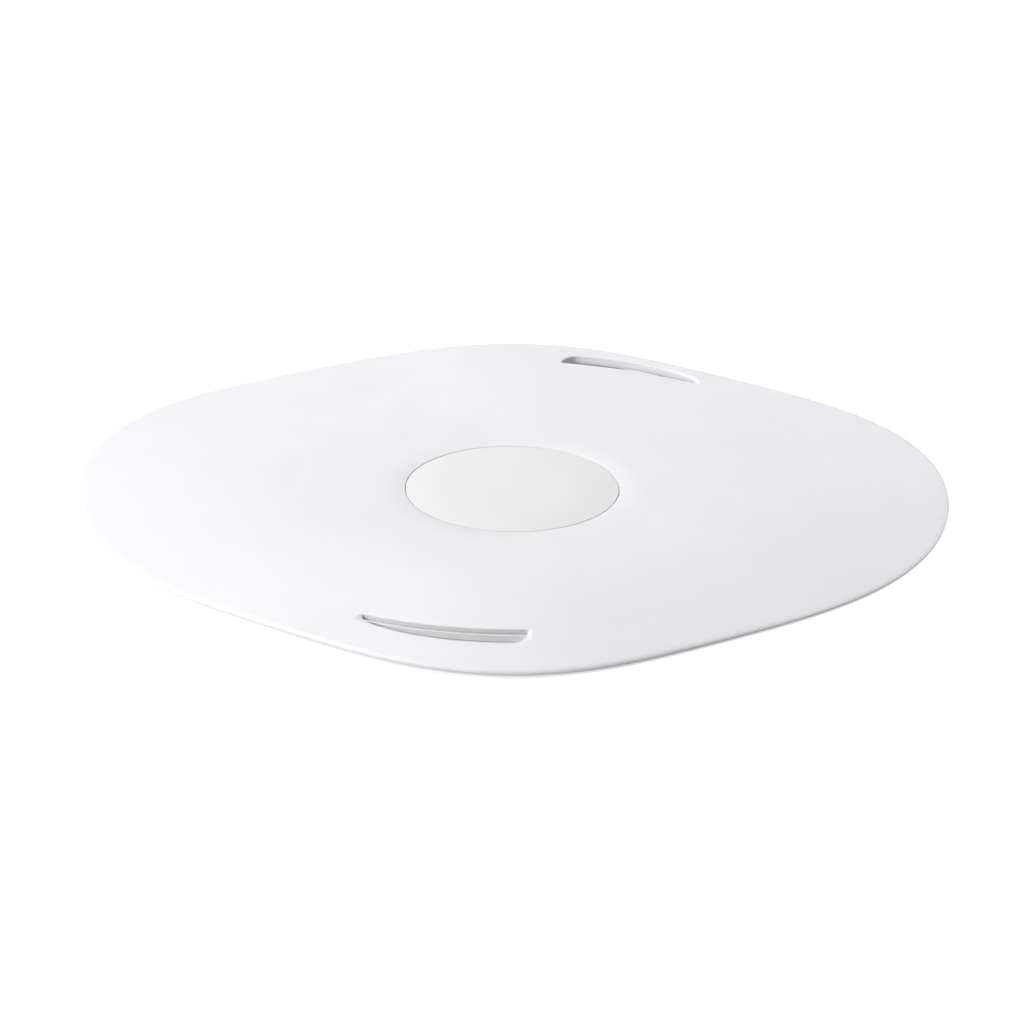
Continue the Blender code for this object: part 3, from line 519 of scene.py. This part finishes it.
WHITE = (0.848, 0.838, 0.872)
MATERIALS = {
    "cover_white": moulded_plastic("cover_white", WHITE, 0.44),
    "disc_grey": moulded_plastic("disc_grey", (0.812, 0.812, 0.809), 0.5, 0.006 * MM, 0.008),
    "liner_grey": moulded_plastic("liner_grey", (0.8, 0.8, 0.805), 0.6, 0.02 * MM, 0.02),
    "base_white": moulded_plastic("base_white", (0.71, 0.708, 0.724), 0.55, 0.03 * MM, 0.015,
                                  1500.0),
    "zinc_steel": plated_steel("zinc_steel", (0.62, 0.635, 0.65), 0.36, (1.0, 14.0, 1.0)),
    "spring_steel": plated_steel("spring_steel", (0.5, 0.51, 0.53), 0.28, (1.0, 22.0, 1.0), 0.02),
    "tinned_steel": plated_steel("tinned_steel", (0.7, 0.7, 0.68), 0.3, (16.0, 1.0, 1.0), 0.03),
    "aluminium": cast_aluminium("aluminium", (0.66, 0.67, 0.69)),
    "silicone_pad": soft_pad("silicone_pad", (0.34, 0.42, 0.55)),
    "board_green": solder_mask("board_green", (0.02, 0.13, 0.06)),
    "black_resin": moulded_resin("black_resin", (0.022, 0.022, 0.025)),
    "cream_plastic": moulded_plastic("cream_plastic", (0.74, 0.7, 0.6), 0.42),
    "clear_acrylic": clear_plastic("clear_acrylic", (0.9, 0.93, 0.95)),
}
GOLD = plated_steel("contact_gold", (0.83, 0.6, 0.24), 0.24, (1.0, 18.0, 1.0), 0.02)
DARK = moulded_resin("insert_black", (0.03, 0.03, 0.033))


# ---------------------------------------------------------------- cover, disc and slots


def quarter_turn(count):
    return [math.pi / 2.0 * i / count for i in range(1, count + 1)]


def cover_rings():
    """Over the face from the light hole, round the rim, and back under the face."""
    under_recess = RECESS_Z - RECESS_FLOOR
    rings = [fixed_ring(LIGHT_HOLE_RADIUS, RECESS_Z), fixed_ring(RECESS_RADIUS, RECESS_Z)]
    for t in [0.0] + quarter_turn(4):
        radius = RECESS_RADIUS + RECESS_EDGE * (1.0 - math.cos(t))
        rings.append(fixed_ring(radius, FACE_Z - RECESS_EDGE * (1.0 - math.sin(t))))
    rings.append(fixed_ring(FLAT_RADIUS, FACE_Z))
    for i in range(SHOULDER_STEPS + 1):
        rings.append(shoulder_ring(SHOULDER_END * i / SHOULDER_STEPS))
    for t in [0.0] + quarter_turn(6):
        inset = EDGE_WIDTH * (1.0 - math.sin(t))
        rings.append(inset_ring(inset, below_face(inset, 0.0)))
    for t in quarter_turn(8):
        inset = LIP_INSET * (1.0 - math.cos(t))
        rings.append(inset_ring(inset, below_rim(LIP_DEPTH * math.sin(t))))
    inwards, upwards = LIP_RETURN
    rings.append(inset_ring(LIP_INSET + inwards, below_rim(LIP_DEPTH - upwards)))
    rings.append(inset_ring(INNER_RIM_INSET, below_face(INNER_RIM_INSET, COVER_WALL)))
    start, step, count = INNER_SHOULDER
    rings += [shoulder_ring(start - step * i, COVER_WALL) for i in range(count)]
    rings += [
        fixed_ring(RECESS_RADIUS + COVER_WALL, FACE_Z - COVER_WALL),
        fixed_ring(RECESS_RADIUS + RECESS_WALL, under_recess),
        fixed_ring(LIGHT_HOLE_RADIUS, under_recess),
    ]
    return rings


def slot_outline(start, sweep, inner_radius, steps=64):
    """A crescent: a blunt rounded end, a long parallel run and a pointed end."""
    inner, outer = [], []
    fall, taper = POINT_POWERS
    for i in range(steps + 1):
        s = (i / steps) ** SLOT_CROWDING
        angle = math.radians(start + sweep * s)
        blunt = 1.0 - (1.0 - min(1.0, s / BLUNT_RUN)) ** BLUNT_POWER
        width = SLOT_WIDTH * (BLUNT_WIDTH + (1.0 - BLUNT_WIDTH) * blunt)
        width *= max(0.0, 1.0 - s**fall) ** taper
        inner.append(Vector((inner_radius * math.cos(angle), inner_radius * math.sin(angle))))
        reach = inner_radius + width
        outer.append(Vector((reach * math.cos(angle), reach * math.sin(angle))))
    return inner + outer[-2::-1]


def grown(outline, distance):
    """The outline moved outwards along the normals of its own points."""
    count = len(outline)
    area = sum(outline[i - 1].cross(outline[i]) for i in range(count))
    side = 1.0 if area > 0.0 else -1.0
    moved = []
    for i in range(count):
        along = outline[(i + 1) % count] - outline[i - 1]
        normal = Vector((along.y, -along.x)).normalized() * side
        moved.append(outline[i] + normal * distance)
    return moved


def slot_cutter(outline, bm):
    """A cutter whose mouth flares, so that the slot's edge is rounded over."""
    rings = [[(p.x, p.y, FACE_Z - CUTTER_BOTTOM) for p in outline]]
    for t in [0.0] + quarter_turn(6)[:-1]:
        ring = []
        for p in grown(outline, SLOT_EDGE * (1.0 - math.cos(t))):
            ring.append((p.x, p.y, surface_z(p.x, p.y) - SLOT_EDGE * (1.0 - math.sin(t))))
        rings.append(ring)
    wide = grown(outline, SLOT_EDGE * CUTTER_MOUTH)
    rings.append([(p.x, p.y, surface_z(p.x, p.y) + CUTTER_LIFT) for p in wide])
    rings.append([(p.x, p.y, FACE_Z + CUTTER_TOP) for p in wide])
    return skin(rings, bm=bm)


def make_cover():
    """The cover, with a collar under each slot."""
    cover = add_object("cover_shell", skin(cover_rings(), closed=True))
    collars = bmesh.new()
    cutters = bmesh.new()
    for start, sweep, radius in SLOTS.values():
        outline = slot_outline(start, sweep, radius)
        wall = grown(outline, COLLAR_WALL)
        tops = [(p.x, p.y, surface_z(p.x, p.y) - COLLAR_TOP) for p in wall]
        skin([[(x, y, FACE_Z - COLLAR_BOTTOM) for x, y, _ in tops], tops], bm=collars)
        slot_cutter(outline, cutters)
    combine(cover, "UNION", collars)
    combine(cover, "DIFFERENCE", cutters)
    place(cover, MATERIALS["cover_white"], "cover_white", "top_cover")


def make_disc():
    """The blank disc, with a small round at its edge."""
    section = [(DISC_RADIUS, disc_low.z), (DISC_RADIUS, disc_high.z - DISC_EDGE)]
    for t in quarter_turn(5):
        radius = DISC_RADIUS - DISC_EDGE * (1.0 - math.cos(t))
        section.append((radius, disc_high.z - DISC_EDGE * (1.0 - math.sin(t))))
    section.append((DISC_RADIUS / 2.0, disc_high.z))
    rings = [circle(radius, z, DISC_STEPS) for radius, z in section]
    disc = add_object("disc_cap", skin(rings))
    place(disc, MATERIALS["disc_grey"], "disc_grey", "centre_disc")


def make_liners():
    """An angle section under each slot: the pale wall, and the slot's floor."""
    span_start, span = LINER_SPAN
    for name, (start, sweep, radius) in SLOTS.items():
        inner, wall = [radius + face for face in LINER_WALL]
        outer = radius + LINER_WIDTH
        rings = []
        for i in range(LINER_STEPS + 1):
            angle = math.radians(start + sweep * (span_start + span * i / LINER_STEPS))
            beside = face_z(angle, outline_radius(angle) - radius)
            top, low = beside - LINER_TOP, beside - LINER_BOTTOM
            floor = low + LINER_FLOOR
            section = [
                (inner, low), (outer, low), (outer, floor), (wall, floor), (wall, top),
                (inner, top),
            ]
            rings.append([polar(r, angle, z) for r, z in section])
        liner = soften(add_object(f"{name}_baffle", skin(rings)), LINER_EDGE)
        place(liner, MATERIALS["liner_grey"], "liner_grey", f"{name}_liner")


# ---------------------------------------------------------------- base housing


def base_rings():
    """Out over the floor, up inside the slope, over the tongue, down the slope and back."""
    top_inset, top_depth = SLOPE_TOP

    def slope_ring(t, lift):
        def section(angle):
            top_r = outline_radius(angle) - top_inset
            top_z = below_rim(top_depth)(angle)
            foot_z = BASE_Z + FOOT_ROUND
            radius = FOOT_RADIUS + (top_r - FOOT_RADIUS) * t
            return radius, foot_z + (top_z - foot_z) * t + lift

        return outline_ring(section)

    floor_z = BASE_Z + BASE_WALL
    slope = [1.0 - i / SLOPE_STEPS for i in range(SLOPE_STEPS)]
    rings = [fixed_ring(CAP_RADIUS, floor_z), fixed_ring(FOOT_RADIUS - FLOOR_CORNER, floor_z)]
    rings += [slope_ring(t, BASE_WALL) for t in slope[::-1]][1:]
    rings += [inset_ring(inset * MM, below_rim(depth * MM)) for inset, depth in TONGUE]
    rings += [slope_ring(t, 0.0) for t in slope]
    for t in [0.0] + quarter_turn(5):
        radius = FOOT_RADIUS - FOOT_ROUND * (1.0 - math.cos(t))
        rings.append(fixed_ring(radius, BASE_Z + FOOT_ROUND * (1.0 - math.sin(t))))
    rings.append(fixed_ring(CAP_RADIUS, BASE_Z))
    return rings


def make_base():
    """The base, with its port bay, screw wells, one window for the sockets, and nub groove."""
    base = add_object("base_shell", skin(base_rings()))
    (bay_x0, bay_y0), (bay_x1, bay_y1), roof = BAY
    walls = box(
        (bay_x0 - BAY_WALL, bay_y0 - BAY_WALL, BASE_Z + OVERLAP),
        (bay_x1 + BAY_WALL, bay_y1 + BAY_WALL, roof + BAY_WALL),
    )
    combine(base, "UNION", walls)
    cuts = box((bay_x0, bay_y0, BASE_Z - OVERLAP), (bay_x1, bay_y1, roof))
    below, above = WELL_CHAMFER
    for node in ("cover_screw_1", "cover_screw_2", "cover_screw_3", "cover_screw_4"):
        low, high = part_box(node)
        x, y = (low.x + high.x) / 2.0, (low.y + high.y) / 2.0
        profile = [
            (WELL_MOUTH, BASE_Z - below), (WELL_RADIUS, BASE_Z + above),
            (WELL_RADIUS, WELL_TOP),
            (SCREW_HOLE_RADIUS, WELL_TOP), (SCREW_HOLE_RADIUS, SCREW_HOLE_TOP),
        ]
        turned(profile, 40, x, y, cuts)
    combine(base, "DIFFERENCE", cuts)
    sockets = [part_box(node) for node in ("uplink_jack", "second_jack", "power_inlet")]
    low_x, high_x = min(low.x for low, _ in sockets), max(high.x for _, high in sockets)
    low_z, high_z = min(low.z for low, _ in sockets), max(high.z for _, high in sockets)
    ends = (bay_y1 - WINDOW_DEPTH, bay_y1 + BAY_WALL + OVERLAP)
    windows = box(
        (low_x - GAP, ends[0], low_z - GAP),
        (high_x + GAP, ends[1], high_z + 2.0 * GAP),
    )
    low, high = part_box("reset_button")
    hole = (high.x - low.x) / 2.0 + GAP
    middle_x, middle_z = (low.x + high.x) / 2.0, (low.z + high.z) / 2.0
    skin([circle_y(hole, y, middle_x, middle_z) for y in ends], bm=windows)
    combine(base, "DIFFERENCE", windows)
    arc_start, arc_sweep = NUB_GROOVE_ARC
    steps = NUB_GROOVE_STEPS
    arc = [math.radians(arc_start + arc_sweep * i / steps) for i in range(steps + 1)]
    path = []
    for radius, angles in zip(NUB_GROOVE, (arc, arc[::-1])):
        path += [(radius * math.cos(a), radius * math.sin(a)) for a in angles]
    combine(base, "DIFFERENCE", prism(path, BASE_Z - OVERLAP, BASE_Z + NUB_GROOVE_DEPTH))
    place(base, MATERIALS["base_white"], "base_white", "base_housing")


# ---------------------------------------------------------------- connectors


def make_jack_insides(node):
    """Eight sprung contacts on a black insert, inside a jack's mouth."""
    low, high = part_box(node)
    x = (low.x + high.x) / 2.0
    top = low.z + JACK_ROOF
    comb = box(
        (x - COMB_HALF_WIDTH, low.y + COMB_ALONG[0], top - COMB_DOWN[0]),
        (x + COMB_HALF_WIDTH, low.y + COMB_ALONG[1], top - COMB_DOWN[1]),
    )
    insert = soften(add_object(f"{node}_insert", comb), 0.1 * MM)
    place(insert, DARK, "black_resin")
    wires = bmesh.new()
    half = CONTACT_HALF_WIDTH
    for i in range(CONTACTS):
        wire_x = x + (i - (CONTACTS - 1) / 2.0) * CONTACT_PITCH
        rings = []
        for along, down in CONTACT_PATH:
            y, z = low.y + along * MM, top - down * MM
            rings.append([
                (wire_x - half, y, z - half), (wire_x + half, y, z - half),
                (wire_x + half, y, z + half), (wire_x - half, y, z + half),
            ])
        skin(rings, bm=wires)
    contacts = add_object(f"{node}_contacts", wires)
    place(contacts, GOLD, "tinned_steel")


# ---------------------------------------------------------------- remaining frame nodes


def dress_nodes():
    """Every node that still shows gets its slot's material."""
    slots = {part["node"]: part["material_slot"] for part in frame["record"]["subparts"]}
    for name, obj in frame["nodes"].items():
        obj.data.materials.clear()
        obj.data.materials.append(MATERIALS[slots[name]])
        obj.data.shade_smooth()
        obj.data.set_sharp_from_angle(angle=math.radians(SMOOTH_ANGLE))


# ---------------------------------------------------------------- stage, light and camera


def make_floor():
    """A wide flat light table: it glows evenly, so that the object's shadow stays faint."""
    low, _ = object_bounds()
    half = FLOOR_HALF
    corners = [(-half, -half), (half, -half), (half, half), (-half, half)]
    bm = bmesh.new()
    bm.faces.new([bm.verts.new((x, y, low.z)) for x, y in corners])
    floor = add_object("studio_floor", bm)
    m = Nodes("floor_paper", FLOOR_COLOUR, 0.9)
    m.bump(m.noise(600.0, 3.0), 0.01 * MM, 0.3)
    m.shader.inputs["Emission Color"].default_value = (1.0, 1.0, 1.0, 1.0)
    m.shader.inputs["Emission Strength"].default_value = FLOOR_GLOW
    floor.data.materials.append(m.mat)


def direction(azimuth, elevation):
    """Unit vector towards an azimuth from +X and an elevation, both in degrees."""
    turn, lift = math.radians(azimuth), math.radians(elevation)
    return Vector((
        math.cos(turn) * math.cos(lift), math.sin(turn) * math.cos(lift), math.sin(lift),
    ))


def softbox(name, azimuth, elevation, power):
    """A round soft light at a distance from the middle of the face, aimed at it."""
    light = bpy.data.lights.new(name, "AREA")
    light.shape = "DISK"
    light.size = SOFTBOX_SIZE
    light.energy = power
    obj = bpy.data.objects.new(name, light)
    bpy.context.scene.collection.objects.link(obj)
    towards = direction(azimuth, elevation)
    obj.location = Vector((0.0, 0.0, FACE_Z)) + towards * SOFTBOX_DISTANCE
    obj.rotation_euler = (-towards).to_track_quat("-Z", "Y").to_euler()


def make_lights():
    world = bpy.data.worlds.new("studio")
    bpy.context.scene.world = world
    world.use_nodes = True
    background = world.node_tree.nodes["Background"]
    background.inputs["Color"].default_value = (1.0, 1.0, 1.0, 1.0)
    background.inputs["Strength"].default_value = WORLD_STRENGTH
    for name, (azimuth, elevation, power) in LIGHTS.items():
        softbox(name, azimuth, elevation, power)
    view = bpy.context.scene.view_settings
    view.view_transform = "Standard"
    view.look = "None"


def make_camera():
    azimuth, elevation = math.radians(VIEW_AZIMUTH), math.radians(VIEW_ELEVATION)
    back = Vector((
        math.sin(azimuth) * math.cos(elevation),
        -math.cos(azimuth) * math.cos(elevation),
        math.sin(elevation),
    ))
    data = bpy.data.cameras.new("camera")
    data.sensor_width = 36.0
    data.lens = data.sensor_width * VIEW_DISTANCE / VIEW_WIDTH
    data.clip_start, data.clip_end = 0.1, 50.0
    camera = bpy.data.objects.new("camera", data)
    bpy.context.scene.collection.objects.link(camera)
    turn = (-back).to_track_quat("-Z", "Y").to_matrix()
    up = turn.col[1]
    disc_centre = Vector((0.0, 0.0, FACE_Z))
    camera.location = disc_centre - up * DISC_ABOVE_MIDDLE + back * VIEW_DISTANCE
    roll = Matrix.Rotation(math.radians(VIEW_ROLL), 3, "Z")
    camera.rotation_euler = (turn @ roll).to_euler()
    bpy.context.scene.camera = camera


make_camera()
dress_nodes()
make_cover()
make_disc()
make_liners()
make_base()
for jack in ("uplink_jack", "second_jack"):
    make_jack_insides(jack)
make_floor()
make_lights()
